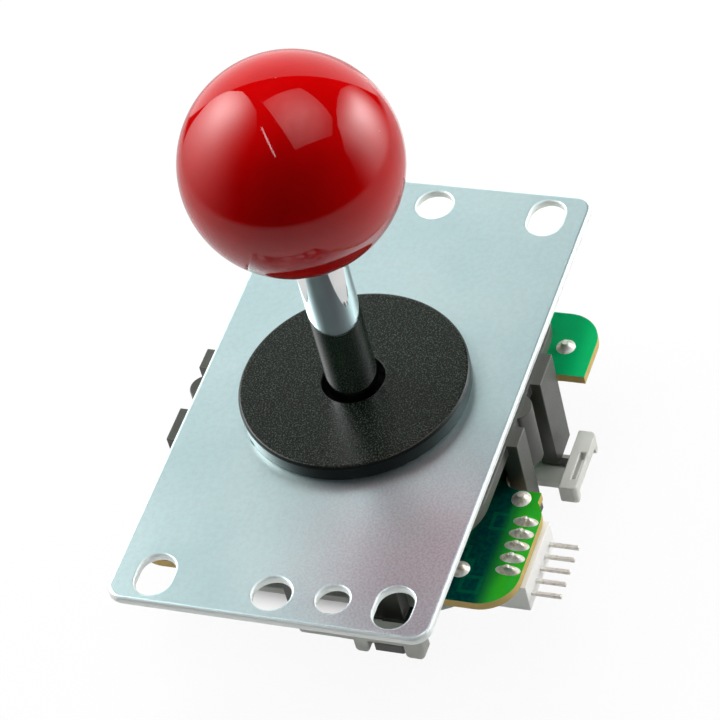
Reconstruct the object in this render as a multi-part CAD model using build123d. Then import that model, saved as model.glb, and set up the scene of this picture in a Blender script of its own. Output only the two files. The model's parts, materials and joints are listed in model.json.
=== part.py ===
"""Arcade joystick lever for panel mounting, in millimetres.

The origin is the centre of the mounting plate's upper face, on the lever's axis at rest. +Z points up
to the ball, X runs along the plate's long side, and the wire header is on the -Y side.
"""
import os
from math import radians, sqrt, tan

from build123d import *

# Ball and its threaded insert
ball_diameter = 35.0
ball_centre_height = 51.5
ball_seat_radius = 5.6
insert_radius = 4.5
insert_length = 13.5
insert_floor = 1.2
insert_groove_depth = 0.5
insert_groove_width = 2.0

# Shaft: a thick upper length, a shoulder on the pivot ball, and a thin tail
shaft_radius = 4.25
stud_radius = 3.0
stud_length = 11.5
tail_radius = 3.0
tail_past_clip = 1.1
shaft_chamfer = 0.5

# Tilt of the lever about each horizontal axis
tilt_limit = 8.0
pivot_depth = 1.5
pivot_radius = 6.5
pivot_top_drop = 0.5
pivot_bottom_drop = 4.7
pivot_clearance = 0.15
slip_clearance = 0.05
swing_clearance = 0.1

# Mounting plate
plate_length = 95.0
plate_width = 54.0
plate_thickness = 1.6
plate_corner_radius = 3.0
plate_edge_radius = 0.6
plate_bore_radius = 9.5
slot_end_margin = 5.5
slot_side_margin = 7.0
slot_width = 6.0
slot_length = 8.0
middle_hole_margin = 5.0
middle_hole_radius = 3.15
side_hole_offset = 10.0
side_hole_radius = 2.65

# Plate screws, hidden by the dust washer
screw_spacing = 22.6
screw_radius = 1.5
screw_head_radius = 2.9
screw_head_depth = 1.4
screw_length = 7.0
screw_sink = 0.05
screw_drive_width = 0.7
screw_drive_length = 3.2
screw_drive_depth = 0.8

# Dust washer
washer_radius = 19.1
washer_thickness = 2.9
washer_edge_radius = 0.6

# Main body, square with round corners
body_side = 54.6
body_corner_radius = 10.0
body_height = 7.8
body_wall = 2.0
body_recess = 4.6
body_roof = 2.4
hub_wall = 3.0
rib_thickness = 1.6
boss_radius = 2.9
rivet_margin = 7.3
rivet_radius = 1.3
rivet_head_radius = 2.3
rivet_head_height = 0.9

# Posts on each side of the body: a latch post with a tooth, a round rib and a guide post
post_stand = 1.8
post_thickness = 2.9
post_gate_gap = 0.2
latch_low = 6.8
latch_high = 13.6
guide_low = -6.5
guide_high = -2.2
rib_middle = 1.8
rib_radius = 2.6
rib_bottom_drop = 4.2
web_thickness = 1.6
tooth_inset = 0.2
tooth_gap = 0.2
tooth_margin = 0.4
short_tooth_height = 0.7
long_tooth_height = 2.0
long_tooth_ramp = 0.9

# Circuit board
board_gap = 1.6
board_thickness = 1.6
board_length = 62.0
board_width = 64.0
board_corner_radius = 6.0
board_bore_radius = 9.5
board_notch_low = -7.6
board_notch_high = 17.5
board_notch_radius = 2.5
board_notch_clearance = 0.8
board_lip = 1.5

# Switches
switch_width = 16.0
switch_inner = 9.7
switch_depth = 9.6
switch_height = 9.0
switch_edge_radius = 0.6
switch_seam_width = 0.4
switch_seam_depth = 0.3
button_drop = 6.4
button_radius = 1.5
button_travel = 0.8
button_margin = 0.12
button_length = 8.0
button_collar_radius = 2.4
button_collar_height = 0.9
terminal_pitch = 5.08
terminal_width = 1.6
terminal_thickness = 0.6
terminal_inset = 2.0
terminal_rise = 1.0
solder_radius = 1.25
solder_height = 0.8
spot_radius = 1.65
spot_height = 1.2
far_spot_margins = (7.4, 4.9)
middle_spot_margins = (2.6, 4.4)
near_spot_margins = (6.2, 10.0)

# Wire header
header_ways = 5
header_pitch = 2.5
header_end_margin = 7.2
header_end = 1.9
header_depth = 5.6
header_overhang = 0.9
header_height = 5.8
header_edge_radius = 0.4
pin_thickness = 0.64
pin_inset = 2.3
pin_length = 4.9
pin_drop = 3.4
pin_rise = 1.2
pin_pad_width = 2.0
pin_pad_length = 4.2
pin_solder_width = 1.1
pin_solder_length = 1.7
pin_solder_height = 1.0

# Return spring and its pan
spring_wire_radius = 0.45
spring_radius = 6.2
spring_height = 6.1
spring_turns = 3.0
pan_thickness = 1.1
pan_rim_height = 0.8
pan_rim = 0.4
pan_rim_gap = 0.15
pan_hub_radius = 4.9
pan_hub_height = 1.8

# Actuator and its clip
actuator_radius = 4.6
actuator_past_gate = 0.8
actuator_chamfer = 0.5
clip_inset = 0.2
clip_thickness = 0.8
clip_gap = 0.1
clip_groove_depth = 0.7
clip_ring = 1.2
clip_lug = 1.6
clip_lug_turns = (75, 180, 285)
clip_mouth = 3.6

# Restrictor gate, with a short latch on the right and left, and a long one on the front and back
gate_gap = 0.1
gate_thickness = 1.5
gate_post_gap = 0.6
gate_corner_radius = 13.0
gate_opening_corner = 1.5
gate_rim = 2.4
gate_rim_height = 1.2
gate_window_half = 8.0
gate_window_inset = 1.6

# Latches: a tongue of the gate turns up to a bar, and feet hang from the bar
latch_tongue = (3.4, 9.6)
latch_window = (4.8, 8.5)
latch_gap = 2.3
latch_riser = 1.2
latch_bar = 3.0
latch_rise = 3.3
latch_bar_height = 2.2
latch_end_radius = 0.9
foot_radius = 0.8
short_latch = (-0.2, 12.4)
short_feet = ((-0.2, 1.6), (10.6, 12.4))
short_foot_drop = 1.7
bar_slot = (2.0, 7.8)
bar_slot_width = 0.9
long_latch = (-2.9, 18.4)
long_feet = ((6.6, 9.0), (15.2, 18.4))
long_foot_drop = 2.8

# Places that follow from the sizes above
body_half = body_side / 2
body_bottom_depth = plate_thickness + body_height
board_top_depth = body_bottom_depth + board_gap
board_bottom_depth = board_top_depth + board_thickness
switch_bottom_depth = board_bottom_depth + switch_height
switch_outer = switch_inner + switch_depth
gate_top_depth = switch_bottom_depth + gate_gap
gate_bottom_depth = gate_top_depth + gate_thickness
pan_floor_depth = body_bottom_depth + spring_height
pan_radius = spring_radius + spring_wire_radius + pan_rim_gap + pan_rim
actuator_top_depth = pan_floor_depth + pan_thickness
actuator_bottom_depth = gate_bottom_depth + actuator_past_gate
clip_top_depth = actuator_bottom_depth + clip_gap
clip_bottom_depth = clip_top_depth + clip_thickness
tail_end_depth = clip_bottom_depth + tail_past_clip
ball_radius = ball_diameter / 2
ball_seat_height = ball_centre_height - sqrt(ball_radius**2 - ball_seat_radius**2)
pivot_top_depth = pivot_depth + pivot_top_drop
pivot_bottom_depth = pivot_depth + pivot_bottom_drop
post_outer = body_half + post_stand
post_inner = post_outer - post_thickness
post_bottom_depth = gate_top_depth - post_gate_gap
gate_half = post_inner - gate_post_gap
latch_inner = post_outer + latch_gap
latch_outer = latch_inner + latch_bar
latch_top_depth = gate_top_depth - latch_rise
bar_bottom_depth = latch_top_depth + latch_bar_height
tooth_top_depth = bar_bottom_depth + tooth_gap
tooth_outer = latch_outer - tooth_inset
body_wall_half = body_half - body_recess
board_x = board_length / 2
board_y = board_width / 2
lip_y = board_y + board_lip
header_outer = lip_y + header_overhang
header_inner = header_outer - header_depth
header_half = (header_ways - 1) / 2 * header_pitch + header_end
header_middle = -board_x + header_end_margin - header_end + header_half
pin_root = lip_y - pin_inset
pin_tip = header_outer + pin_length
pin_depth = board_bottom_depth + pin_drop
terminal_reach = switch_outer - terminal_inset
button_depth = board_bottom_depth + button_drop
sides = {"right": 0, "front": -90, "left": -180, "back": -270}
short_sides = ("right", "left")
corners = [(1, 1), (1, -1), (-1, 1), (-1, -1)]


def reach(radius, rise, across=1.0):
    """How far a round piece of the lever comes from the axis at full tilt, at this distance from the pivot.

    At a corner of the square gate both axes are tilted, and across is the square root of two.
    """
    slope = across * tan(radians(tilt_limit))
    return radius * sqrt(1 + slope**2) + rise * slope


corner = sqrt(2)
washer_bore_radius = reach(shaft_radius, washer_thickness + pivot_depth, corner) + swing_clearance
hub_hole_radius = reach(tail_radius, body_bottom_depth - pivot_depth, corner) + swing_clearance
hub_radius = pivot_radius + pivot_clearance + hub_wall
actuator_reach = reach(actuator_radius, button_depth - pivot_depth)
button_tip = actuator_reach - button_travel + button_margin
button_tail = button_tip + button_length
gate_opening_half = reach(actuator_radius, actuator_bottom_depth - pivot_depth) + 2 * swing_clearance
clip_radius = actuator_radius - clip_inset


def block(x0, x1, y0, y1, z0, z1):
    """A box between two corners."""
    size = (abs(x1 - x0), abs(y1 - y0), abs(z1 - z0))
    return Pos((x0 + x1) / 2, (y0 + y1) / 2, (z0 + z1) / 2) * Box(*size)


def disc(radius, z0, z1, x=0, y=0):
    """A cylinder on a vertical axis, between two heights."""
    return Pos(x, y, (z0 + z1) / 2) * Cylinder(radius, abs(z1 - z0))


def slab(outline, z0, z1):
    """An outline in the XY plane, made solid between two heights."""
    return extrude(Pos(0, 0, min(z0, z1)) * outline, abs(z1 - z0))


def turned(points):
    """A solid turned round the Z axis from (radius, height) points."""
    profile = make_face(Polyline(*points, close=True))
    return revolve(Plane.XZ * profile, Axis.Z)


def around(side, piece):
    """A piece modelled on the right side, turned to another side of the square body."""
    return Rot(0, 0, sides[side]) * piece


def ball_insert():
    bottom = ball_seat_height
    top = bottom + insert_length
    piece = disc(insert_radius, bottom, top)
    for centre in (bottom + insert_length / 3, bottom + 2 * insert_length / 3):
        low = centre - insert_groove_width / 2
        high = centre + insert_groove_width / 2
        piece -= disc(insert_radius, low, high) - disc(insert_radius - insert_groove_depth, low, high)
    return piece - disc(stud_radius, bottom, top - insert_floor)


def ball_top(insert):
    ball = Pos(0, 0, ball_centre_height) * Sphere(ball_radius)
    ball -= block(-ball_radius, ball_radius, -ball_radius, ball_radius,
                  ball_centre_height - ball_diameter, ball_seat_height)
    bore = disc(stud_radius, ball_seat_height, ball_seat_height + insert_length - insert_floor)
    return ball - insert - bore


def shaft():
    groove = tail_radius - clip_groove_depth
    end = -tail_end_depth
    stud_top = ball_seat_height + stud_length
    return turned([
        (0, end),
        (tail_radius - shaft_chamfer, end),
        (tail_radius, end + shaft_chamfer),
        (tail_radius, -clip_bottom_depth),
        (groove, -clip_bottom_depth),
        (groove, -clip_top_depth),
        (tail_radius, -clip_top_depth),
        (tail_radius, -pivot_top_depth),
        (shaft_radius, -pivot_top_depth),
        (shaft_radius, ball_seat_height),
        (stud_radius, ball_seat_height),
        (stud_radius, stud_top - shaft_chamfer),
        (stud_radius - shaft_chamfer, stud_top),
        (0, stud_top),
    ])


def pivot_ball():
    ball = Pos(0, 0, -pivot_depth) * Sphere(pivot_radius)
    ball &= disc(pivot_radius, -pivot_bottom_depth, -pivot_top_depth)
    return ball - disc(tail_radius + slip_clearance, -pivot_bottom_depth, -pivot_top_depth)


def return_spring():
    top = -body_bottom_depth - spring_wire_radius
    bottom = -pan_floor_depth + spring_wire_radius
    height = top - bottom
    path = Pos(0, 0, bottom) * Helix(height / spring_turns, height, spring_radius)
    section = Plane(path @ 0, z_dir=path % 0) * Circle(spring_wire_radius)
    return sweep(section, path=path, is_frenet=True)


def spring_pan():
    floor = -pan_floor_depth
    bottom = floor - pan_thickness
    rim = floor + pan_rim_height
    hub = floor + pan_hub_height
    bore = tail_radius + slip_clearance
    return turned([
        (bore, bottom),
        (pan_radius - pan_thickness / 2, bottom),
        (pan_radius, bottom + pan_thickness / 2),
        (pan_radius, rim),
        (pan_radius - pan_rim, rim),
        (pan_radius - pan_rim, floor),
        (pan_hub_radius, floor),
        (pan_hub_radius - pan_rim, hub),
        (bore, hub),
    ])


def actuator():
    bore = tail_radius + slip_clearance
    top = -actuator_top_depth
    bottom = -actuator_bottom_depth
    return turned([
        (bore, bottom),
        (actuator_radius - actuator_chamfer, bottom),
        (actuator_radius, bottom + actuator_chamfer),
        (actuator_radius, top - actuator_chamfer),
        (actuator_radius - actuator_chamfer, top),
        (bore, top),
    ])


def e_clip():
    """A ring with a mouth, held in the shaft's groove by three lugs."""
    bottom = -clip_bottom_depth
    top = -clip_top_depth
    clip = disc(clip_radius, bottom, top) - disc(clip_radius - clip_ring, bottom, top)
    for turn in clip_lug_turns:
        clip += Rot(0, 0, turn) * block(0, clip_radius - clip_ring / 2, -clip_lug / 2, clip_lug / 2, bottom, top)
    clip -= disc(tail_radius - clip_groove_depth + slip_clearance, bottom, top)
    return clip - block(0, clip_radius, -clip_mouth / 2, clip_mouth / 2, bottom, top)


def screw_places():
    return GridLocations(screw_spacing, screw_spacing, 2, 2)


def plate_screw_cone(radius):
    return turned([
        (0, -screw_sink - screw_length),
        (radius, -screw_sink - screw_length),
        (radius, -screw_sink - screw_head_depth),
        (screw_head_radius, -screw_sink),
        (0, -screw_sink),
    ])


def plate_screws():
    screw = plate_screw_cone(screw_radius)
    low = -screw_sink - screw_drive_depth
    for turn in (0, 90):
        half = screw_drive_length / 2
        drive = block(-half, half, -screw_drive_width / 2, screw_drive_width / 2, low, 0)
        screw -= Rot(0, 0, turn) * drive
    return Compound([place * screw for place in screw_places()])


def mounting_plate():
    bottom = -plate_thickness
    plate = slab(RectangleRounded(plate_length, plate_width, plate_corner_radius), bottom, 0)
    plate = fillet(plate.edges().group_by(Axis.Z)[-1], plate_edge_radius)
    cuts = [disc(plate_bore_radius, bottom, 0)]
    end_x = plate_length / 2 - slot_end_margin
    end_y = plate_width / 2 - slot_side_margin
    for x, y in corners:
        slot = Pos(x * end_x, y * end_y) * SlotOverall(slot_length, slot_width)
        cuts.append(slab(slot, bottom, 0))
    for end in (1, -1):
        cuts.append(disc(middle_hole_radius, bottom, 0, end * (plate_length / 2 - middle_hole_margin)))
        cuts.append(disc(side_hole_radius, bottom, 0, end * end_x, end * side_hole_offset))
    hole = plate_screw_cone(screw_radius + slip_clearance)
    sink = disc(screw_head_radius, -screw_sink, 0)
    for place in screw_places():
        cuts.append(place * (hole + sink))
    return plate - cuts


def dust_washer():
    washer = disc(washer_radius, 0, washer_thickness)
    washer = fillet(washer.edges().group_by(Axis.Z)[-1], washer_edge_radius)
    return washer - disc(washer_bore_radius, 0, washer_thickness)


def short_tooth():
    """The tooth that a short latch's window takes: flat above, with a ramp below."""
    return [
        (post_outer, tooth_top_depth),
        (tooth_outer - latch_bar + latch_riser, tooth_top_depth),
        (post_outer, tooth_top_depth + short_tooth_height),
    ]


def long_tooth():
    """The tooth between the feet of a long latch: flat above, with a face and a ramp below."""
    face = tooth_top_depth + long_tooth_height
    return [
        (post_inner, tooth_top_depth),
        (tooth_outer, tooth_top_depth),
        (tooth_outer, face),
        (tooth_outer - long_tooth_ramp, face + long_tooth_ramp),
        (post_inner, face + long_tooth_ramp),
    ]


def side_posts(tooth, tooth_low, tooth_high):
    """The posts of the right side: latch post with its tooth, round rib and guide post, on their webs."""
    roof = -plate_thickness
    wall = -body_wall_half + body_wall / 2
    posts = block(latch_low, latch_high, -post_outer, -post_inner, -post_bottom_depth, roof)
    posts += block(guide_low, guide_high, -post_outer, -post_inner, -post_bottom_depth, roof)
    outward_and_down = Plane((tooth_low, 0, 0), x_dir=(0, -1, 0), z_dir=(1, 0, 0))
    posts += extrude(outward_and_down * make_face(Polyline(*tooth, close=True)), tooth_high - tooth_low)
    rib_bottom = -body_bottom_depth - rib_bottom_drop
    rib = disc(rib_radius, rib_bottom, roof, rib_middle, -post_outer + rib_radius)
    low = rib_middle - rib_radius
    high = rib_middle + rib_radius
    posts += rib & block(low, high, -post_outer, -post_inner, rib_bottom, roof)
    for low, high in ((latch_low, latch_high), (guide_low, guide_high), (rib_middle, rib_middle)):
        middle = (low + high) / 2
        posts += block(middle - web_thickness / 2, middle + web_thickness / 2, -post_inner, wall,
                       -body_bottom_depth, roof)
    return posts


def rivet_places():
    pitch = 2 * (body_half - rivet_margin)
    return GridLocations(pitch, pitch, 2, 2)


def main_body():
    top = -plate_thickness
    bottom = -body_bottom_depth
    flange = RectangleRounded(body_side, body_side, body_corner_radius)
    outside = 2 * body_wall_half
    inside = outside - 2 * body_wall
    walls = RectangleRounded(outside, outside, body_corner_radius / 2)
    hollow = RectangleRounded(inside, inside, body_corner_radius / 2 - body_wall)
    body = slab(walls, bottom, top) - slab(hollow, bottom, top - body_roof)
    body += slab(flange, top - body_roof, top)
    body += disc(hub_radius, bottom, top)
    half = rib_thickness / 2
    body += block(-inside / 2, inside / 2, -half, half, bottom, top)
    body += block(-half, half, -inside / 2, inside / 2, bottom, top)
    for place in screw_places():
        body += place * disc(boss_radius, bottom, top)
    rivet_head = -board_bottom_depth - rivet_head_height
    for place in rivet_places():
        body += place * disc(boss_radius, -board_top_depth, top)
        body += place * disc(rivet_radius, rivet_head, -board_top_depth)
        body += place * disc(rivet_head_radius, rivet_head, -board_bottom_depth)
    for side in sides:
        if side in short_sides:
            posts = side_posts(short_tooth(), latch_low, latch_window[1] - tooth_margin)
        else:
            posts = side_posts(long_tooth(), latch_tongue[1] + tooth_margin, long_feet[1][0] - tooth_margin)
        body += around(side, posts)
    seat = pivot_radius + pivot_clearance
    body -= Pos(0, 0, -pivot_depth) * Sphere(seat)
    body -= disc(seat, -pivot_depth, top)
    body -= disc(hub_hole_radius, bottom, -pivot_depth)
    for place in screw_places():
        body -= place * disc(screw_radius + slip_clearance, -screw_sink - screw_length, top)
    return body


def terminal_places():
    """Where the switch terminals of the right side come through the board."""
    return [(n * terminal_pitch, -terminal_reach) for n in (-1, 0, 1)]


def switch_terminal(x, y):
    half = terminal_width / 2
    flat = terminal_thickness / 2
    return block(x - half, x + half, y - flat, y + flat, -board_bottom_depth,
                 -board_top_depth + terminal_rise)


def pin_places():
    """The x of each way of the header."""
    return [header_middle + (n - (header_ways - 1) / 2) * header_pitch for n in range(header_ways)]


def header_pin(x):
    half = pin_thickness / 2
    upright = block(x - half, x + half, -pin_root - half, -pin_root + half, -pin_depth - half,
                    -board_top_depth + pin_rise)
    prong = block(x - half, x + half, -pin_tip, -pin_root, -pin_depth - half, -pin_depth + half)
    return upright + prong


def header_block(pins):
    bottom = -board_bottom_depth - header_height
    piece = block(header_middle - header_half, header_middle + header_half, -header_outer, -header_inner,
                  bottom, -board_bottom_depth)
    piece = fillet(piece.edges().group_by(Axis.Z)[0], header_edge_radius)
    return piece - pins


def circuit_board(terminals, pins):
    bottom = -board_bottom_depth
    top = -board_top_depth
    board = slab(RectangleRounded(board_length, board_width, board_corner_radius), bottom, top)
    lip_length = board_x + board_notch_low
    lip = RectangleRounded(lip_length, board_y, board_corner_radius)
    board += slab(Pos(-board_x + lip_length / 2, -lip_y + board_y / 2) * lip, bottom, top)
    board -= disc(board_bore_radius, bottom, top)
    notch_y = post_inner - board_notch_clearance
    notch_length = board_notch_high - board_notch_low
    notch = RectangleRounded(notch_length, board_width - notch_y, board_notch_radius)
    notch = Pos((board_notch_low + board_notch_high) / 2, -(board_width + notch_y) / 2) * notch
    for side in sides:
        board -= around(side, slab(notch, bottom, top))
    for place in rivet_places():
        board -= place * disc(rivet_radius, bottom, top)
    for metal in terminals + pins:
        board -= metal
    return board


def solder_joint(x, y, radius, height):
    """A cone of solder on the board's upper face."""
    foot = -board_top_depth
    return Pos(x, y) * turned([
        (0, foot),
        (radius, foot),
        (radius / 2, foot + height),
        (0, foot + height),
    ])


def pin_joint(x):
    """A cone of solder on an oval pad of the header."""
    foot = Pos(x, -pin_root, -board_top_depth) * Ellipse(pin_pad_width / 2, pin_pad_length / 2)
    tip = Pos(x, -pin_root, -board_top_depth + pin_solder_height)
    return loft([foot, tip * Ellipse(pin_solder_width / 2, pin_solder_length / 2)])


def solder_spots():
    """Where solder shows beside the header and on the far corner of the board."""
    return [
        (board_x - far_spot_margins[0], -board_y + far_spot_margins[1]),
        (header_middle + header_half + middle_spot_margins[0], -lip_y + middle_spot_margins[1]),
        (-board_x + near_spot_margins[0], -lip_y + near_spot_margins[1]),
    ]


def switch_case():
    """The switch of the right side, its button towards the lever's axis."""
    half = switch_width / 2
    top = -board_bottom_depth
    bottom = -switch_bottom_depth
    case = block(-half, half, -switch_outer, -switch_inner, bottom, top)
    case = fillet(case.edges().filter_by(Axis.Z), switch_edge_radius)
    seam_y = -switch_inner - switch_depth / 2
    groove = block(-half, half, seam_y - switch_seam_width / 2, seam_y + switch_seam_width / 2, bottom, top)
    inside = block(-half + switch_seam_depth, half - switch_seam_depth, -switch_outer, -switch_inner,
                   bottom + switch_seam_depth, top)
    case -= groove - inside
    along = Plane((0, 0, -button_depth), z_dir=(0, -1, 0))
    collar = extrude(along.offset(switch_inner - button_collar_height) * Circle(button_collar_radius),
                     button_collar_height)
    bore_end = button_tail + button_travel + button_margin
    bore = extrude(along * Circle(button_radius + slip_clearance), bore_end)
    return case + collar - bore


def switch_button():
    along = Plane((0, 0, -button_depth), z_dir=(0, -1, 0))
    button = extrude(along.offset(button_tip) * Circle(button_radius), button_tail - button_tip)
    return fillet(button.edges().group_by(Axis.Y)[-1], button_radius / 2)


def latch(span, feet, drop):
    """A latch of the gate's right side: a tongue that turns up to a bar, and the feet of the bar."""
    top = -latch_top_depth
    bar = -bar_bottom_depth
    low, high = span
    front = Pos((low + high) / 2, (top + bar) / 2) * Rectangle(high - low, top - bar)
    for foot_low, foot_high in feet:
        foot = Pos((foot_low + foot_high) / 2, (top + bar - drop) / 2)
        front += foot * Rectangle(foot_high - foot_low, top - bar + drop)
    front = fillet(front.vertices().group_by(Axis.Y)[0], foot_radius)
    piece = extrude(Plane((0, -latch_inner, 0), x_dir=(1, 0, 0), z_dir=(0, -1, 0)) * front, latch_bar)
    plan = Pos((low + high) / 2, -(latch_inner + latch_outer) / 2) * Rectangle(high - low, latch_bar)
    plan = fillet(plan.vertices().group_by(Axis.Y)[0], latch_end_radius)
    piece &= slab(plan, bar - drop, top)
    root = gate_half - gate_corner_radius
    piece += block(*latch_tongue, -latch_inner - latch_riser, -root, -gate_bottom_depth, -gate_top_depth)
    return piece + block(*latch_tongue, -latch_inner - latch_riser, -latch_inner, -gate_bottom_depth, top)


def short_side_latch():
    """The short latch has a slot along its bar, and a window in its riser for the post's tooth."""
    middle = (latch_inner + latch_riser + latch_outer) / 2
    half = bar_slot_width / 2
    slot = block(*bar_slot, -middle - half, -middle + half, -bar_bottom_depth, -latch_top_depth)
    window = block(*latch_window, -latch_inner - latch_riser, -latch_inner, -gate_top_depth, -bar_bottom_depth)
    return latch(short_latch, short_feet, short_foot_drop) - slot - window


def long_side_latch():
    return latch(long_latch, long_feet, long_foot_drop)


def restrictor_gate():
    bottom = -gate_bottom_depth
    top = -gate_top_depth
    gate = slab(RectangleRounded(2 * gate_half, 2 * gate_half, gate_corner_radius), bottom, top)
    for side in sides:
        gate += around(side, short_side_latch() if side in short_sides else long_side_latch())
        window = block(-gate_window_half, gate_window_half, -switch_outer,
                       -gate_opening_half - gate_rim - gate_window_inset, bottom, top)
        gate -= around(side, window)
    rim_half = gate_opening_half + gate_rim
    rim = RectangleRounded(2 * rim_half, 2 * rim_half, gate_opening_corner + gate_rim)
    gate += slab(rim, bottom - gate_rim_height, top)
    opening = RectangleRounded(2 * gate_opening_half, 2 * gate_opening_half, gate_opening_corner)
    return gate - slab(opening, bottom - gate_rim_height, top)


def build():
    """Every sub-part by its name."""
    insert = ball_insert()
    pins = [header_pin(x) for x in pin_places()]
    terminals = {side: [around(side, switch_terminal(x, y)) for x, y in terminal_places()] for side in sides}
    metal = [piece for group in terminals.values() for piece in group]
    joints = [pin_joint(x) for x in pin_places()]
    joints += [solder_joint(x, y, spot_radius, spot_height) for x, y in solder_spots()]
    for side in sides:
        for x, y in terminal_places():
            joints.append(around(side, solder_joint(x, y, solder_radius, solder_height)))
    joints = [joint - pins - metal for joint in joints]
    parts = {
        "ball_top": ball_top(insert),
        "ball_insert": insert,
        "shaft": shaft(),
        "pivot_ball": pivot_ball(),
        "return_spring": return_spring(),
        "spring_pan": spring_pan(),
        "actuator": actuator(),
        "e_clip": e_clip(),
        "dust_washer": dust_washer(),
        "mounting_plate": mounting_plate(),
        "plate_screws": plate_screws(),
        "main_body": main_body(),
        "circuit_board": circuit_board(metal, pins),
        "header_block": header_block(pins),
        "header_pins": Compound(pins),
        "solder_joints": Compound(joints),
        "restrictor_gate": restrictor_gate(),
    }
    for side in sides:
        parts[f"switch_case_{side}"] = around(side, switch_case())
        parts[f"switch_button_{side}"] = around(side, switch_button())
        parts[f"switch_terminals_{side}"] = Compound(terminals[side])
    return parts


os.makedirs("parts", exist_ok=True)
for name, part in build().items():
    export_step(part, f"parts/{name}.step")
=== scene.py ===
# %% [markdown]
# # An arcade joystick lever
# The lever stands upright on its mounting plate: a red ball on a chromed shaft, a black dust washer, and the
# switch housing below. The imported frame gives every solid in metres, with the origin in the middle of the
# plate's upper face. This lesson dresses that frame: it sets up the camera, builds smooth pieces over the
# solids that show most, gives each surface its finish, and lights it all in a small white tent.

# %% Load the frame
import json
from math import asin, cos, pi, radians, sin, sqrt

import bmesh
import bpy
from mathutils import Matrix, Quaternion, Vector


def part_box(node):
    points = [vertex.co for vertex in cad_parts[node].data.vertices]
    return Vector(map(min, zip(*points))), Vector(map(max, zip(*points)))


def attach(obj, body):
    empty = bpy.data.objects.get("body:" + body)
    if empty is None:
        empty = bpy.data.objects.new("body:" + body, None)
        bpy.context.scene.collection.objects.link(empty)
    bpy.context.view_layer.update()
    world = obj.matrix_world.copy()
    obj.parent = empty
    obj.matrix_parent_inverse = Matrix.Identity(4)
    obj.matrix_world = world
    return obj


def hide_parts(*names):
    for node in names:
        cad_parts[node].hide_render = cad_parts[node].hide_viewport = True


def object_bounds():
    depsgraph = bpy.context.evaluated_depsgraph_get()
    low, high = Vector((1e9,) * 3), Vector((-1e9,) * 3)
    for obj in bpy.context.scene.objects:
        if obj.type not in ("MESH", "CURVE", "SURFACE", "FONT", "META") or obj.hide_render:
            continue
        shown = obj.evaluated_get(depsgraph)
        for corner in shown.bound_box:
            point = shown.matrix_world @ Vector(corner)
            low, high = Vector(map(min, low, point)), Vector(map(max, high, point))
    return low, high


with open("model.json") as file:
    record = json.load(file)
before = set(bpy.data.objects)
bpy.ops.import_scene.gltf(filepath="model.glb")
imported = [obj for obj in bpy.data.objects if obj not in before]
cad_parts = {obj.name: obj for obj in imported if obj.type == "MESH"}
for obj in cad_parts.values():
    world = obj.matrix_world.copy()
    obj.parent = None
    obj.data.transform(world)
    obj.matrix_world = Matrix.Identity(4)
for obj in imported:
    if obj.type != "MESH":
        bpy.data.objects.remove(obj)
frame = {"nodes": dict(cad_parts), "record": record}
cad_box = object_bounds()
nodes = frame["nodes"]
record = frame["record"]
scene = bpy.context.scene
MM = 0.001
BODY_OF = {node: body for body, group in record["behaviour"]["bodies"].items() for node in group}

# %% [markdown]
# ## The camera
# The photograph looks down on the lever at about 46 degrees with a long lens, and the lever leans to the left
# in it. A camera is easiest to read as a place, a point that it looks at, and a roll about its own line of
# sight, so those are the values that are kept here.

# %% Place the camera
CAMERA_PLACE = Vector((-0.3443, -0.2001, 0.4157))
CAMERA_AIM = Vector((0.00376, 0.0, 0.00317))
CAMERA_ROLL = radians(-15.87)
LENS_MM = 177.7

camera_data = bpy.data.cameras.new("photo_camera")
camera_data.lens = LENS_MM
camera_data.sensor_width = 36.0
camera_data.clip_end = 20.0
camera = bpy.data.objects.new("photo_camera", camera_data)
scene.collection.objects.link(camera)
camera.location = CAMERA_PLACE
level = (CAMERA_AIM - CAMERA_PLACE).to_track_quat("-Z", "Y")
camera.rotation_mode = "QUATERNION"
camera.rotation_quaternion = level @ Quaternion((0, 0, 1), CAMERA_ROLL)
scene.camera = camera
scene.view_settings.view_transform = "Standard"
print("camera distance:", round((CAMERA_AIM - CAMERA_PLACE).length, 3))

# %% [markdown]
# ## Shader maths as Python
# A material is a graph of nodes. Writing it as expressions keeps the graph readable, so a small class wraps
# one socket and turns +, - and * into Math nodes. Every other node comes from one method of the graph.


# %% A socket that can be calculated with
class Value:
    def __init__(self, graph, socket):
        self.graph = graph
        self.socket = socket

    def math(self, operation, *others):
        return self.graph.node("ShaderNodeMath", {"operation": operation}, dict(enumerate((self, *others))))

    def __add__(self, other):
        return self.math("ADD", other)

    def __sub__(self, other):
        return self.math("SUBTRACT", other)

    def __rsub__(self, other):
        return self.math("MULTIPLY_ADD", -1.0, other)

    def __mul__(self, other):
        return self.math("MULTIPLY", other)

    __radd__ = __add__
    __rmul__ = __mul__

    def between(self, low, high):
        """0 below low, 1 above high, smooth in between."""
        return self.graph.node("ShaderNodeMapRange", {"interpolation_type": "SMOOTHSTEP"},
                               {"Value": self, "From Min": low, "From Max": high})


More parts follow.
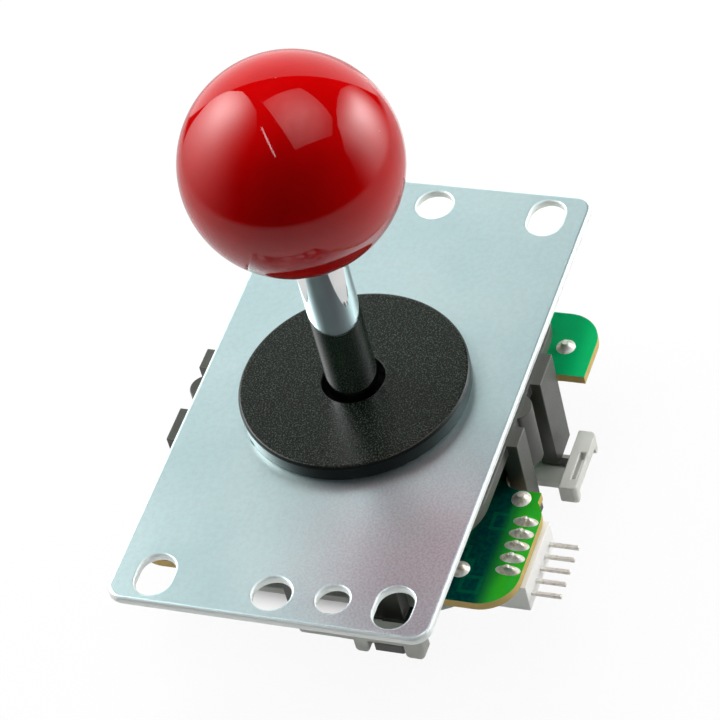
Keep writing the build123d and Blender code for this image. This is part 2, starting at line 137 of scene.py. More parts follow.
class Graph:
    """A node tree, with one way to add a node and a few patterns that every finish uses."""

    def __init__(self, tree):
        self.tree = tree

    def node(self, kind, settings=None, inputs=None, output=0):
        made = self.tree.nodes.new(kind)
        for key, value in (settings or {}).items():
            setattr(made, key, value)
        for key, value in (inputs or {}).items():
            self.feed(made.inputs[key], value)
        return Value(self, made.outputs[output])

    def feed(self, socket, value):
        if isinstance(value, Value):
            self.tree.links.new(value.socket, socket)
        else:
            socket.default_value = value

    def place(self, kind="Object"):
        """Object coordinates, in metres, or in the world's graph the Generated ones, which are directions."""
        return self.node("ShaderNodeTexCoord", output=kind)

    def axis(self, letter, kind="Object"):
        """One coordinate: X, Y or Z."""
        return self.node("ShaderNodeSeparateXYZ", None, {0: self.place(kind)}, letter)

    def stretched(self, x=1, y=1, z=1):
        """Object coordinates with each axis scaled, to draw a pattern out."""
        return self.node("ShaderNodeMapping", None, {"Vector": self.place(), "Scale": (x, y, z)})

    def noise(self, size, detail=2.0, rough=0.5, where=None):
        """Noise with features of this size in metres."""
        return self.node("ShaderNodeTexNoise", None, {
            "Vector": where or self.place(), "Scale": 1 / size, "Detail": detail, "Roughness": rough})

    def cells(self, size, settings=None, where=None):
        """Distance to the nearest of scattered points, about this far apart in metres."""
        return self.node("ShaderNodeTexVoronoi", settings, {
            "Vector": where or self.place(), "Scale": 1 / size})

    def distance(self, point):
        """Distance from a point, in metres."""
        return self.node("ShaderNodeVectorMath", {"operation": "DISTANCE"},
                         {0: self.place(), 1: point}, "Value")

    def mix(self, factor, first, second):
        """A colour between two. The colour sockets share their names with others, so they go by number."""
        return self.node("ShaderNodeMix", {"data_type": "RGBA"}, {0: factor, 6: first, 7: second}, 2)

    def ray(self, kind):
        """1 for a ray of this kind, and 0 for any other."""
        return self.node("ShaderNodeLightPath", output=f"Is {kind} Ray")

    def mirrored(self):
        """1 for a ray that has been reflected or has come through glass."""
        return self.ray("Glossy").math("MAXIMUM", self.ray("Transmission"))


class Finish(Graph):
    """One material with a Principled shader."""

    def __init__(self, name, **sockets):
        self.material = bpy.data.materials.new(name)
        self.material.use_nodes = True
        super().__init__(self.material.node_tree)
        self.shader = self.tree.nodes["Principled BSDF"]
        self.set(**sockets)

    def set(self, **sockets):
        for name, value in sockets.items():
            self.feed(self.shader.inputs[name.replace("_", " ").title().replace("Ior", "IOR")], value)

    def bump(self, height, distance, strength=1.0):
        """Raise the surface by up to this distance in metres."""
        self.set(normal=self.node("ShaderNodeBump", None, {
            "Strength": strength, "Distance": distance, "Height": height}))


def rgb(red, green, blue):
    return (red, green, blue, 1.0)


print("shader helpers ready")

# %% [markdown]
# ## Red ball
# The ball is moulded plastic, polished until it mirrors the room. Polished plastic is one deep colour under a
# thin sharp reflection, so roughness stays near zero. A little cloudiness in the red, a haze of fine wiping
# marks in the roughness and a few specks of dust keep it from looking like a computer's sphere.


# %% Finish of the ball
def polished_red():
    finish = Finish("polished_red", ior=1.5)
    cloud = finish.noise(9 * MM, detail=3.0).between(0.3, 0.7)
    red = finish.mix(cloud, rgb(0.455, 0.0, 0.0004), rgb(0.505, 0.0003, 0.0009))
    speck = 1 - finish.cells(5 * MM).between(0.012, 0.03)
    finish.set(base_color=finish.mix(speck * 0.35, red, rgb(0.75, 0.3, 0.28)))
    wiping = finish.noise(0.5 * MM, detail=4.0, where=finish.stretched(1, 1, 0.25)).between(0.45, 0.75)
    finish.set(roughness=0.03 + wiping * 0.05 + speck * 0.3)
    return finish


red_gloss = polished_red()
print("made", red_gloss.material.name)

# %% [markdown]
# ## Metals
# The shaft is chromed: almost a mirror, with faint rings left from turning, so the noise is drawn out round
# the axis. The plate is zinc plated and passivated. That film is so thin that it tints the metal blue. Towards
# one corner the plate is painted purple and grainy: a painted reflection of the red ball. Its dull sheen comes
# from grain rather than from scratches, and its stamped edge is rougher and painted paler, partly as a painted
# highlight. Solder, tin and brass are small and bright, with a darker film where they were heated or handled.


# %% Finishes of the metals
def turned_chrome():
    finish = Finish("turned_chrome", metallic=1.0)
    rings = finish.noise(0.25 * MM, detail=3.0, where=finish.stretched(0.02, 0.02, 1))
    film = finish.noise(6 * MM).between(0.35, 0.7)
    finish.set(base_color=finish.mix(film, rgb(0.8, 0.82, 0.83), rgb(0.88, 0.885, 0.88)))
    finish.set(roughness=0.03 + rings.between(0.4, 0.8) * 0.05)
    finish.bump(rings, 0.002 * MM)
    return finish


PURPLE_CENTRE = (-35 * MM, -26 * MM, 0)
PURPLE_REACH = (10 * MM, 44 * MM)
PURPLE_WARP = 14 * MM
CUT_EDGE = (0.16 * MM, 0.04 * MM)


def passivated_zinc():
    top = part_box("mounting_plate")[1].z
    finish = Finish("passivated_zinc")
    warp = finish.noise(14 * MM, detail=3.0) * PURPLE_WARP
    # painted reflection of the red ball: the plate turns purple, with darker grainy specks, towards one corner
    corner = 1 - (finish.distance(PURPLE_CENTRE) + warp).between(*PURPLE_REACH)
    mottle = finish.noise(16 * MM, detail=3.0).between(0.3, 0.7)
    blue = finish.mix(mottle, rgb(0.69, 0.93, 0.95), rgb(0.75, 0.97, 0.98))
    painted_reflection = finish.mix(corner * 0.54, blue, rgb(0.55, 0.51, 0.61))
    grain = finish.noise(0.12 * MM, detail=1.0)
    spangle = finish.noise(0.9 * MM, detail=4.0, rough=0.65).between(0.35, 0.68)
    speckle = finish.noise(0.4 * MM, detail=2.0).between(0.36, 0.66) * corner
    grainy = finish.mix(speckle * 0.45, painted_reflection, rgb(0.38, 0.36, 0.43))
    face = finish.mix(spangle * 0.14 + grain * 0.04, grainy, rgb(0.5, 0.56, 0.57))
    # partly a painted highlight: the sides and edges below the upper face are painted paler and less metallic,
    # and are rougher
    cut = 1 - finish.axis("Z").between(*[top - depth for depth in CUT_EDGE])
    finish.set(base_color=finish.mix(cut, face, rgb(0.92, 0.97, 0.95)), metallic=1 - cut * 0.5)
    finish.set(roughness=0.3 + grain.between(0.47, 0.53) * 0.08 + mottle * 0.02 + cut * 0.3)
    finish.bump(grain, 0.002 * MM)
    return finish


def filmed_metal(name, bright, dull, size, rough, bare=1.0):
    """A small bright metal part with a duller film in patches, and with this share of bare metal."""
    finish = Finish(name, metallic=bare)
    patch = finish.noise(size, detail=4.0).between(0.42, 0.66)
    finish.set(base_color=finish.mix(patch, bright, dull))
    finish.set(roughness=rough + patch * 0.18)
    finish.bump(patch, 0.01 * MM)
    return finish


chrome = turned_chrome()
zinc = passivated_zinc()
tin = filmed_metal("tinned_metal", rgb(0.86, 0.84, 0.79), rgb(0.7, 0.66, 0.58), 0.9 * MM, 0.32, 0.6)
solder = filmed_metal("bright_solder", rgb(0.93, 0.91, 0.87), rgb(0.74, 0.62, 0.47), 0.7 * MM, 0.34, 0.5)
brass = filmed_metal("turned_brass", rgb(0.8, 0.58, 0.26), rgb(0.6, 0.4, 0.17), 1.5 * MM, 0.22)
spring_wire = filmed_metal("spring_wire", rgb(0.6, 0.6, 0.61), rgb(0.36, 0.36, 0.37), 1.2 * MM, 0.25)
screw_zinc = filmed_metal("screw_zinc", rgb(0.68, 0.72, 0.74), rgb(0.5, 0.52, 0.54), 1.0 * MM, 0.28)
clip_steel = filmed_metal("clip_steel", rgb(0.3, 0.3, 0.31), rgb(0.16, 0.16, 0.17), 0.8 * MM, 0.32)
print("metals made")

# %% [markdown]
# ## Plastics
# The dust washer has a spark-eroded grain, and its glitter is painted: tiny lighter specks in its colour on the
# upper face, painted glints, which are also rougher. The housing and the switches are satin black, the gate is
# a milky pale plastic, and the wire header is natural nylon. Those share one recipe: a colour that drifts a
# little, and a fine grain that roughens and raises the surface. The washer has a recipe of its own, for its
# painted glints on the upper face only.


# %% Finishes of the plastics
UPPER_FACE = (0.2 * MM, 0.05 * MM)
ROUNDED_EDGE = (0.75 * MM, 0.5 * MM)


def eroded_black():
    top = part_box("dust_washer")[1].z
    finish = Finish("eroded_black", ior=1.46)
    height = finish.axis("Z")
    upper = height.between(*[top - depth for depth in UPPER_FACE])
    rounded = height.between(*[top - depth for depth in ROUNDED_EDGE])
    grain = finish.noise(0.3 * MM, detail=1.0)
    # painted glints: lighter specks painted into the colour of the upper face, which are rougher there too
    painted_glints = finish.noise(0.26 * MM, detail=2.0).between(0.52, 0.66)
    dark = finish.mix(grain.between(0.38, 0.66), rgb(0.0008, 0.002, 0.0011), rgb(0.002, 0.005, 0.0028))
    finish.set(base_color=finish.mix(painted_glints * upper * 0.42, dark, rgb(0.05, 0.095, 0.06)))
    finish.set(roughness=0.2 + rounded * 0.04 + painted_glints * upper * 0.14 + (rounded - upper) * 0.16)
    finish.bump(grain * upper, 0.03 * MM)
    return finish


def moulded(name, first, second, rough, **sockets):
    """Moulded plastic: a colour that drifts, with a fine grain."""
    finish = Finish(name, **sockets)
    drift = finish.noise(5 * MM, detail=3.0).between(0.3, 0.7)
    grain = finish.noise(0.3 * MM, detail=3.0, rough=0.6)
    finish.set(base_color=finish.mix(drift * 0.7 + grain * 0.3, first, second))
    finish.set(roughness=rough + grain.between(0.3, 0.7) * 0.12)
    finish.bump(grain, 0.012 * MM)
    return finish


washer_grain = eroded_black()
black = moulded("satin_black", rgb(0.03, 0.033, 0.026), rgb(0.056, 0.06, 0.048), 0.3, ior=1.8)
switch_black = moulded("switch_black", rgb(0.012, 0.012, 0.013), rgb(0.024, 0.024, 0.025), 0.4)
dark_pivot = moulded("dark_pivot", rgb(0.02, 0.021, 0.02), rgb(0.04, 0.041, 0.04), 0.3)
milky = moulded("milky_gate", rgb(0.66, 0.67, 0.62), rgb(0.76, 0.77, 0.72), 0.34)
nylon = moulded("natural_nylon", rgb(0.93, 0.93, 0.9), rgb(0.97, 0.97, 0.95), 0.36)
button_red = moulded("button_red", rgb(0.42, 0.02, 0.018), rgb(0.56, 0.035, 0.03), 0.35)
print("plastics made")

# %% [markdown]
# ## Circuit board
# The board is tan laminate under a green varnish. Copper tracks lie under the varnish and lift it by a hair,
# so they show as paler lines with a soft edge. The cut sides are bare laminate. A check on height tells the
# sides from the faces, and a Voronoi pattern measured along the axes gives lines that run square, like
# tracks. The green is painted bright along the free rim as painted light, and dark further in as the plate's
# painted shadow. It is darkest at the wire end, where the lit rim is painted yellower.


# %% Finish of the board
SKIN = 0.04 * MM
LIT_RIM = (2.5 * MM, 6.5 * MM)
WIRE_END = (-8 * MM, 8 * MM)
TRACK_RING = 0.3
TRACK_WIDTH = (0.05, 0.07)


def varnished_board():
    low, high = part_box("circuit_board")
    finish = Finish("varnished_board", ior=1.5, specular_ior_level=0.05)
    height = finish.axis("Z")
    above = height.between(low.z + SKIN / 2, low.z + SKIN)
    side = above * (1 - height.between(high.z - SKIN, high.z - SKIN / 2))
    tracks = finish.cells(5 * MM, {"distance": "CHEBYCHEV"}, finish.stretched(1, 1, 0))
    copper = 1 - (tracks - TRACK_RING).math("ABSOLUTE").between(*TRACK_WIDTH)
    weave = finish.noise(0.6 * MM, detail=3.0)
    # painted light and shade: a lit green along the free rim, and the plate's painted shadow further in
    lit_rim = 1 - finish.axis("Y").between(*[low.y + inset for inset in LIT_RIM])
    wire_end = 1 - finish.axis("X").between(*WIRE_END)
    lit_green = finish.mix(wire_end, rgb(0.0, 0.5, 0.15), rgb(0.03, 0.46, 0.015))
    shaded_green = finish.mix(wire_end, rgb(0.0, 0.4, 0.13), rgb(0.0, 0.042, 0.045))
    green = finish.mix(lit_rim, shaded_green, lit_green)
    lively = finish.mix(weave.between(0.3, 0.7) * 0.12, green, rgb(0.0, 0.3, 0.09))
    varnish = finish.mix(copper * 0.12, lively, rgb(0.002, 0.46, 0.12))
    finish.set(base_color=finish.mix(side, varnish, rgb(0.62, 0.45, 0.17)))
    finish.set(roughness=0.16 + weave.between(0.3, 0.7) * 0.1 + side * 0.45)
    finish.bump(copper * 0.7 + weave * 0.3, 0.03 * MM, 0.6)
    return finish


board_green = varnished_board()
print("made", board_green.material.name)

# %% [markdown]
# ## From solids to pieces
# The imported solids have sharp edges, and a sharp edge never catches light. Three small helpers turn them into
# pieces. The first copies a solid and clears its inner edges, the second rounds what is left with the bevel
# operator, and the third makes the result an object that stands for its node and moves with the node's body.

# %% Copy, round and dress
MERGE = 0.001 * MM
FLAT = radians(1)
SHARP = radians(35)


def merged_copy(name):
    """The solids of this node as one mesh, with corners joined and flat faces whole."""
    shape = bmesh.new()
    shape.from_mesh(nodes[name].data)
    bmesh.ops.remove_doubles(shape, verts=shape.verts, dist=MERGE)
    bmesh.ops.dissolve_limit(shape, angle_limit=FLAT, verts=shape.verts, edges=shape.edges)
    return shape


def round_edges(shape, width):
    """Round every edge that turns by more than SHARP, by this width in metres."""
    sharp = [edge for edge in shape.edges if edge.calc_face_angle(0) > SHARP]
    bmesh.ops.bevel(shape, geom=sharp, offset=width, offset_type="OFFSET", affect="EDGES",
                    segments=2, profile=0.5, material=-1)
    return shape


def dress(name, shape, finish, node):
    """Make a mesh the piece that stands for this node and moves with its body."""
    mesh = bpy.data.meshes.new(name)
    shape.to_mesh(mesh)
    shape.free()
    mesh.materials.clear()
    mesh.materials.append(finish.material)
    mesh.shade_smooth()
    mesh.set_sharp_from_angle(angle=SHARP)
    piece = bpy.data.objects.new(name, mesh)
    scene.collection.objects.link(piece)
    even = piece.modifiers.new("even_flats", "WEIGHTED_NORMAL")
    even.keep_sharp = True
    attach(piece, BODY_OF[node])
    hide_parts(node)
    print(name, len(mesh.polygons), "faces on", BODY_OF[node])


print("piece helpers ready, edges above", round(SHARP, 2), "rad are rounded")

# %% [markdown]
# ## The ball
# A mirror finish shows every flat of a coarse sphere, so the ball is spun afresh. One vertex spun about the
# ball's centre draws the arc from the seat on the shaft to the top, and that arc spun about the lever's axis
# makes the ball. The ring of the seat is closed first, from the shaft outwards.


# %% Spin the ball
def whole_turn(shape, steps):
    """Spin everything once round the lever's axis, and close the seam and the poles."""
    bmesh.ops.spin(shape, geom=shape.verts[:] + shape.edges[:], cent=(0, 0, 0), axis=(0, 0, 1),
                   angle=2 * pi, steps=steps, use_merge=True)
    bmesh.ops.remove_doubles(shape, verts=shape.verts, dist=MERGE)
    bmesh.ops.recalc_face_normals(shape, faces=shape.faces)
    return shape


ARC_STEPS = 72
BALL_STEPS = 144


def ball_shape():
    low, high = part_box("ball_top")
    radius = (high.y - low.y) / 2
    centre = Vector((0, 0, high.z - radius))
    seat = sqrt(radius**2 - (centre.z - low.z)**2)
    print("ball radius:", round(radius / MM, 3), "seat radius:", round(seat / MM, 3))
    shape = bmesh.new()
    start = shape.verts.new((seat, 0, low.z))
    bmesh.ops.spin(shape, geom=[start], cent=centre, axis=(0, -1, 0), angle=pi - asin(seat / radius),
                   steps=ARC_STEPS)
    shape.edges.new((shape.verts.new((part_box("ball_insert")[1].x, 0, low.z)), start))
    return whole_turn(shape, BALL_STEPS)


dress("polished_ball", round_edges(ball_shape(), 0.3 * MM), red_gloss, "ball_top")

# %% [markdown]
# ## Turned pieces
# The shaft, the dust washer and the small rings inside are all turned shapes. Their outlines are already in
# the solids: a cut along the axis gives half of the section, and spinning that again with more steps gives
# the same shape with smoother round faces.


# %% Spin the turned pieces
CUT_TURN = 0.05
CUT_REACH = MERGE / 100


def section(name):
    """The outline of a turned solid, cut on one side of its axis and a little off the solid's own seam."""
    shape = merged_copy(name)
    along = Vector((cos(CUT_TURN), sin(CUT_TURN), 0))
    across = Vector((-along.y, along.x, 0))
    everything = shape.verts[:] + shape.edges[:] + shape.faces[:]
    cut = bmesh.ops.bisect_plane(shape, geom=everything, dist=CUT_REACH, plane_co=(0, 0, 0),
                                 plane_no=across)
    outline = {item for item in cut["geom_cut"] if isinstance(item, bmesh.types.BMEdge)}
    bmesh.ops.delete(shape, geom=shape.faces[:], context="FACES_ONLY")
    bmesh.ops.delete(shape, geom=[edge for edge in shape.edges if edge not in outline], context="EDGES")
    bmesh.ops.bisect_plane(shape, geom=shape.verts[:] + shape.edges[:], dist=CUT_REACH, plane_co=(0, 0, 0),
                           plane_no=along, clear_inner=True)
    bmesh.ops.dissolve_limit(shape, angle_limit=FLAT, verts=shape.verts, edges=shape.edges)
    return shape


def turned(name, steps, width):
    return round_edges(whole_turn(section(name), steps), width)


dress("chromed_shaft", turned("shaft", 128, 0.15 * MM), chrome, "shaft")
dress("dust_disc", turned("dust_washer", 192, 0.12 * MM), washer_grain, "dust_washer")
dress("pivot_cup", turned("pivot_ball", 96, 0.12 * MM), dark_pivot, "pivot_ball")
dress("spring_dish", turned("spring_pan", 96, 0.1 * MM), black, "spring_pan")
dress("lever_foot", turned("actuator", 96, 0.12 * MM), black, "actuator")

# %% [markdown]
# ## Moulded and stamped pieces
# These keep the outline of their solids, and only their edges change. The plate is stamped, so its holes have
# a rolled rim that catches the light. The mouldings have small radii everywhere, as every moulding has.

# %% Round the edges of the rest
EDGE_OF = {
    "mounting_plate": ("zinc_plate", zinc, 0.4 * MM),
    "main_body": ("switch_housing", black, 0.14 * MM),
    "restrictor_gate": ("gate_moulding", milky, 0.2 * MM),
    "header_block": ("header_shell", nylon, 0.15 * MM),
    "header_pins": ("pin_row", tin, 0.1 * MM),
    "e_clip": ("shaft_clip", clip_steel, 0.1 * MM),
}
for name, (piece_name, finish, width) in EDGE_OF.items():
    dress(piece_name, round_edges(merged_copy(name), width), finish, name)

# %% [markdown]
# ## Solder joints
# Molten solder climbs the pin and freezes in a hollow curve, wide at the pad and steep at the top. Each solid
# cone in the frame gives a place, a radius and a height, and a hollow profile is spun there.


# %% Spin the solder
def islands(shape):
    """The separate solids of a mesh, as lists of vertices, in the order of the mesh."""
    left = set(shape.verts)
    for start in shape.verts:
        found = [start] if start in left else []
        left.discard(start)
        for vert in found:
            for edge in vert.link_edges:
                other = edge.other_vert(vert)
                if other in left:
                    left.remove(other)
                    found.append(other)
        if found:
            yield found


CLIMB_STEPS = 9
TIP = 0.34
HOLLOW = 1.8
CROWN = 1.06
CONE_STEPS = 24


def solder_shape():
    """Hollow cones: each is spun one unit high and wide, then scaled to its solid and moved there."""
    climbs = [step / CLIMB_STEPS for step in range(CLIMB_STEPS + 1)]
    outline = [(TIP + (1 - TIP) * (1 - climb) ** HOLLOW, climb) for climb in climbs] + [(0.0, CROWN)]
    solids = merged_copy("solder_joints")
    shape = bmesh.new()
    for island in islands(solids):
        low = Vector([min(vert.co[axis] for vert in island) for axis in range(3)])
        high = Vector([max(vert.co[axis] for vert in island) for axis in range(3)])
        size = high - low
        verts = [shape.verts.new((across, 0, climb)) for across, climb in outline]
        edges = [shape.edges.new(pair) for pair in zip(verts, verts[1:])]
        bmesh.ops.spin(shape, geom=verts + edges, cent=(0, 0, 0), axis=(0, 0, 1), angle=2 * pi,
                       steps=CONE_STEPS, use_merge=True)
        made = [vert for vert in shape.verts if not vert.tag]
        bmesh.ops.scale(shape, vec=(size.x / 2, size.y / 2, size.z), verts=made)
        bmesh.ops.translate(shape, vec=((low.x + high.x) / 2, (low.y + high.y) / 2, low.z), verts=made)
        for vert in made:
            vert.tag = True
    solids.free()
    bmesh.ops.remove_doubles(shape, verts=shape.verts, dist=MERGE)
    bmesh.ops.recalc_face_normals(shape, faces=shape.faces)
    return shape


dress("solder_cones", solder_shape(), solder, "solder_joints")

# %% [markdown]
# ## Nodes that stay as they are
# The other solids already have the right shape, so they only get their finish.

# %% Finish the other nodes
FINISH_OF = {
    "ball_insert": brass,
    "return_spring": spring_wire,
    "plate_screws": screw_zinc,
    "circuit_board": board_green,
}
for side in ("right", "front", "left", "back"):
    FINISH_OF[f"switch_case_{side}"] = switch_black
    FINISH_OF[f"switch_button_{side}"] = button_red
    FINISH_OF[f"switch_terminals_{side}"] = tin
for name, finish in FINISH_OF.items():
    nodes[name].data.materials.clear()
    nodes[name].data.materials.append(finish.material)
print("finished in place:", len(FINISH_OF))

# %% [markdown]
# ## The light tent
# The photograph was taken in a white tent with an open front: two tall walls glow at the sides, each
# brightest where its lamp stands behind it, a paler panel and a thin tube hang above, and the room in front
# is dark. The ball shows all of that, so the walls are built as glowing sheets in the directions that the
# ball reflects. They are hidden from the camera, and so never get in the way of another view.

# %% Walls of the tent
BALL_CENTRE = Vector((0, 0, 51.5 * MM))
WALL_DISTANCE = 0.55


def cloth(name, strength):
    """The start of a glowing cloth: no colour of its own, and this strength where it is fully lit."""
    return Finish(name, base_color=rgb(0, 0, 0), roughness=1.0, emission_strength=strength)


def glowing_sheet(name, corners, level, finish):
    """A flat sheet of light through these corners, as bright as the level says."""
    finish.set(emission_color=finish.mix(level, rgb(0, 0, 0), rgb(1, 1, 1)))
    shape = bmesh.new()
    shape.faces.new([shape.verts.new(corner) for corner in corners])
    mesh = bpy.data.meshes.new(name)
    shape.to_mesh(mesh)
    shape.free()
    mesh.materials.append(finish.material)
    sheet = bpy.data.objects.new(name, mesh)
    scene.collection.objects.link(sheet)
    sheet.visible_camera = False


def lamp_glow(finish, letters, spot, spreads):
    """A lamp's light on the cloth: full at its spot, and a quarter at one spread from it, each way."""
    total = 1.0
    for letter, middle, (below, above) in zip(letters, spot, spreads):
        away = finish.axis(letter) - middle
        under = away.math("MINIMUM", 0.0) * (1 / (below * WALL_DISTANCE))
        over = away.math("MAXIMUM", 0.0) * (1 / (above * WALL_DISTANCE))
        total = total + under * under + over * over
    return total.math("POWER", -2.0)


def side_wall(name, y, corners, hot_spot, strength, spreads, fade):
    """A wall beside the lever: its corners are (x, z) from the ball, in wall distances."""
    def point(x, z):
        return BALL_CENTRE + Vector((x, y, z)) * WALL_DISTANCE

    finish = cloth(name, strength)
    spot = point(*hot_spot)
    lit = lamp_glow(finish, "XZ", (spot.x, spot.z), spreads)
    into = finish.axis("X").between(*[x * WALL_DISTANCE for x in fade])
    glowing_sheet(name, [point(*corner) for corner in corners], lit * into, finish)


def overhead(name, corners, hot_spot, strength, spread):
    """A level panel above the lever: its corners are (x, y) from the ball, in wall distances."""
    def point(x, y):
        return BALL_CENTRE + Vector((x, y, 1)) * WALL_DISTANCE

    finish = cloth(name, strength)
    spot = point(*hot_spot)
    lit = lamp_glow(finish, "XY", (spot.x, spot.y), [(spread, spread)] * 2)
    weave = finish.noise(0.12, detail=3.0).between(0.3, 0.7)
    glowing_sheet(name, [point(*corner) for corner in corners], lit * (0.8 + weave * 0.2), finish)


LEFT_WALL = [
    (0.44, -0.4), (0.48, 0.0), (0.58, 0.2), (0.68, 0.5), (0.74, 1.0), (0.6, 1.6), (0.25, 2.5), (-0.7, 3.2),
    (-1.8, 2.75), (-2.2, 1.4), (-2.2, -0.5),
]
RIGHT_WALL = [
    (1.9, -1.5), (2.8, -1.02), (3.6, 0.0), (3.6, 0.34), (2.3, 1.0), (1.46, 1.06), (0.8, 0.96), (0.4, 0.78),
    (0.03, 0.4), (-0.15, -0.4), (0.0, -1.3),
]
PANEL = [(0.27, 0.35), (0.8, -0.1), (0.57, -0.97), (0.15, -1.26), (-0.53, -0.48)]
TUBE = [(-0.2, 0.245), (-0.78, -0.11), (-0.765, -0.135), (-0.185, 0.22)]
side_wall("tent_left", 1, LEFT_WALL, (0.28, 0.65), 7.7, [(0.62, 0.62), (0.58, 1.05)], (-2.2, -0.1))
side_wall("tent_right", -1, RIGHT_WALL, (1.02, 0.34), 8.3, [(0.77, 1.3), (0.64, 0.46)], (-0.15, 0.45))
overhead("tent_panel", PANEL, (0.2, -0.28), 2.4, 0.75)
overhead("tent_tube", TUBE, (-0.5, 0.05), 9.0, 0.7)

# %% [markdown]
# ## Floor
# The background is plain white, so to the camera nearly all of the floor is white at a strength of one. It
# keeps a little of its own shading so that a faint shadow stays, and under the plate it keeps all of it, so
# that the plate's holes look down into shade. Reflections see a painted pool of light on the floor close to
# the lever. The floor fades out before its edge, and it is clear from below, so that the underside can be
# looked at.

# %% White floor
FLOOR_RADIUS = 0.3
FLOOR_FADE = (0.62 * FLOOR_RADIUS, 0.95 * FLOOR_RADIUS)
FLOOR_GAP = 0.3 * MM
LOWEST = cad_box[0][2]
SHADE_END = (20 * MM, 27 * MM)
SHADE_SIDE = (11 * MM, 18 * MM)
SHADE_FAR = 9 * MM
WHITE_TO_CAMERA = 0.93
WHITE_TO_MIRRORS = 0.7
LIGHT_POOL_REACH = (0.05, 0.17)

floor_mesh = bpy.data.meshes.new("floor")
floor_shape = bmesh.new()
bmesh.ops.create_circle(floor_shape, cap_ends=True, segments=64, radius=FLOOR_RADIUS)
bmesh.ops.translate(floor_shape, verts=floor_shape.verts, vec=(0, 0, LOWEST - FLOOR_GAP))
floor_shape.to_mesh(floor_mesh)
floor_shape.free()
floor = bpy.data.objects.new("floor", floor_mesh)
scene.collection.objects.link(floor)


def white_floor():
    finish = Finish("white_floor", roughness=0.9)
    paper = finish.noise(2 * MM, detail=3.0)
    finish.set(base_color=finish.mix(paper, rgb(0.76, 0.76, 0.76), rgb(0.8, 0.8, 0.8)))
    first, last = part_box("mounting_plate")
    across = finish.axis("Y")
    near_end = finish.axis("X").between(*[first.x + inset for inset in SHADE_END])
    near_side = across.between(*[first.y + inset for inset in SHADE_SIDE])
    shaded = near_end * near_side * (1 - across.between(last.y - SHADE_FAR, last.y))
    direct = finish.ray("Camera")
    seen = (direct * WHITE_TO_CAMERA).math("MAXIMUM", finish.mirrored() * WHITE_TO_MIRRORS) * (1 - shaded)
    away = finish.distance((0, 0, LOWEST))
    # painted pool of light: reflections see the floor paler close to the lever
    close = 1 - away.between(*LIGHT_POOL_REACH)
    light_pool = finish.mix(close, rgb(0.3, 0.3, 0.3), rgb(0.68, 0.68, 0.68))
    glow = finish.mix(direct, light_pool, rgb(1, 1, 1))
    white = finish.node("ShaderNodeEmission", None, {"Color": glow, "Strength": 1.0})
    paper_shader = Value(finish, finish.shader.outputs[0])
    shown = finish.node("ShaderNodeMixShader", None, {0: seen, 1: paper_shader, 2: white})
    clear = finish.node("ShaderNodeBsdfTransparent")
    below = finish.node("ShaderNodeNewGeometry", output="Backfacing")
    hidden = away.between(*FLOOR_FADE).math("MAXIMUM", below)
    faded = finish.node("ShaderNodeMixShader", None, {0: hidden, 1: shown, 2: clear})
    output = next(node for node in finish.tree.nodes if node.type == "OUTPUT_MATERIAL")
    finish.feed(output.inputs["Surface"], faded)
    return finish


floor_mesh.materials.append(white_floor().material)
print("floor at", round((LOWEST - FLOOR_GAP) / MM, 2), "mm")

# %% [markdown]
# ## World
# To the camera the world is plain white too. Reflections see something else: the white sweep behind the
# lever, within a cone of directions, and the darker room in front. A metal that mirrors white all round looks
# flat, and it is the change from white to dark that shows its shape.

# %% White world with a dark room
SWEEP_TURN = radians(23)
SWEEP_RISE = radians(2)
SWEEP_HALF_ANGLE = radians(37.5)
SWEEP_SOFT = 0.01
SWEEP_LEVEL = 0.98
SWEEP_FALL = 0.55
ROOM = 0.012
AMBIENT = 0.02


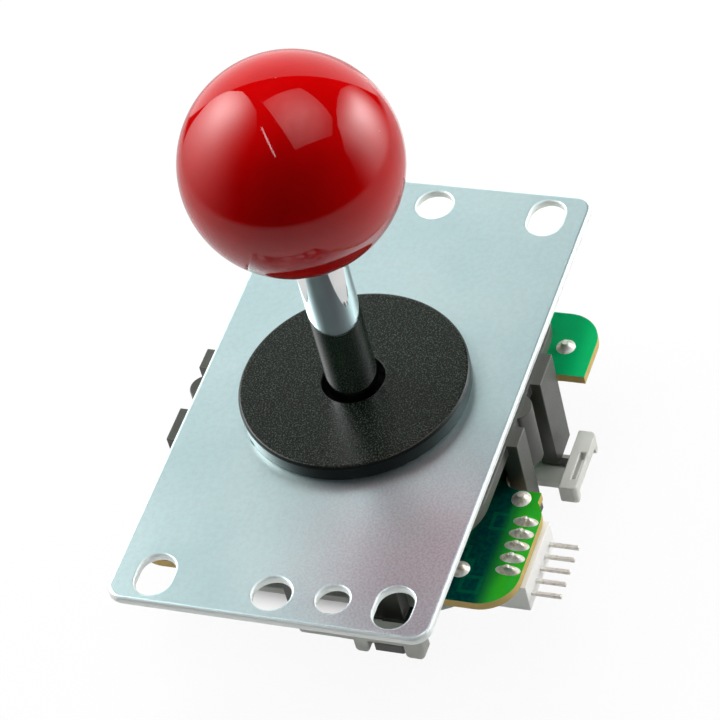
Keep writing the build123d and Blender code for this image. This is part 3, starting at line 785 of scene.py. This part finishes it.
def studio_world():
    world = bpy.data.worlds.new("studio")
    scene.world = world
    world.use_nodes = True
    graph = Graph(world.node_tree)
    behind = (cos(SWEEP_RISE) * cos(SWEEP_TURN), cos(SWEEP_RISE) * sin(SWEEP_TURN), sin(SWEEP_RISE))
    toward = graph.node("ShaderNodeVectorMath", {"operation": "DOT_PRODUCT"},
                        {0: graph.place("Generated"), 1: behind}, "Value")
    cone = toward.between(cos(SWEEP_HALF_ANGLE + SWEEP_SOFT), cos(SWEEP_HALF_ANGLE - SWEEP_SOFT))
    sweep = cone * (SWEEP_LEVEL - graph.axis("Z", "Generated") * SWEEP_FALL)
    mirrored = graph.mirrored()
    level = sweep.math("MAXIMUM", ROOM) * mirrored + (1 - mirrored) * AMBIENT
    level = level.math("MAXIMUM", graph.ray("Camera"))
    background = next(node for node in graph.tree.nodes if node.type == "BACKGROUND")
    graph.feed(background.inputs["Color"], level)
    graph.feed(background.inputs["Strength"], 1.0)


studio_world()
print("world:", scene.world.name)

# %% [markdown]
# ## Lamps
# Three soft lamps stand round the lever. The roof light is the daylight that falls through the tent's roof:
# it lights matt surfaces from the back, and reflections leave it out, so that the ball keeps its clear red
# below the rim. The other two are pale panes, one behind and a weak one in front, that only the plate and the
# washer mirror. Light linking does that: a lamp lights just the objects of one collection, so the plate
# shines without one more bright spot on the ball.

# %% Soft lamps
BEHIND = radians(30)
LAMP_DISTANCE = 0.9


def soft_lamp(name, turn, rise, size, energy):
    """A round soft lamp at this turn about the lever, raised by this angle and turned to the ball."""
    way = Vector((cos(rise) * cos(turn), cos(rise) * sin(turn), sin(rise)))
    data = bpy.data.lights.new(name, "AREA")
    data.shape = "DISK"
    data.size = size
    data.energy = energy
    lamp = bpy.data.objects.new(name, data)
    scene.collection.objects.link(lamp)
    lamp.location = BALL_CENTRE + way * LAMP_DISTANCE
    lamp.rotation_euler = way.to_track_quat("Z", "Y").to_euler()
    return lamp


roof_light = soft_lamp("roof_light", BEHIND, radians(55), 0.5, 6.0)
roof_light.visible_glossy = False
panes = [
    soft_lamp("back_pane", BEHIND, radians(33), 0.45, 0.34),
    soft_lamp("front_pane", BEHIND + pi, radians(18), 1.0, 0.12),
]
lit_by_panes = bpy.data.collections.new("lit_by_panes")
for name in ("zinc_plate", "dust_disc"):
    lit_by_panes.objects.link(bpy.data.objects[name])
for pane in panes:
    pane.light_linking.receiver_collection = lit_by_panes
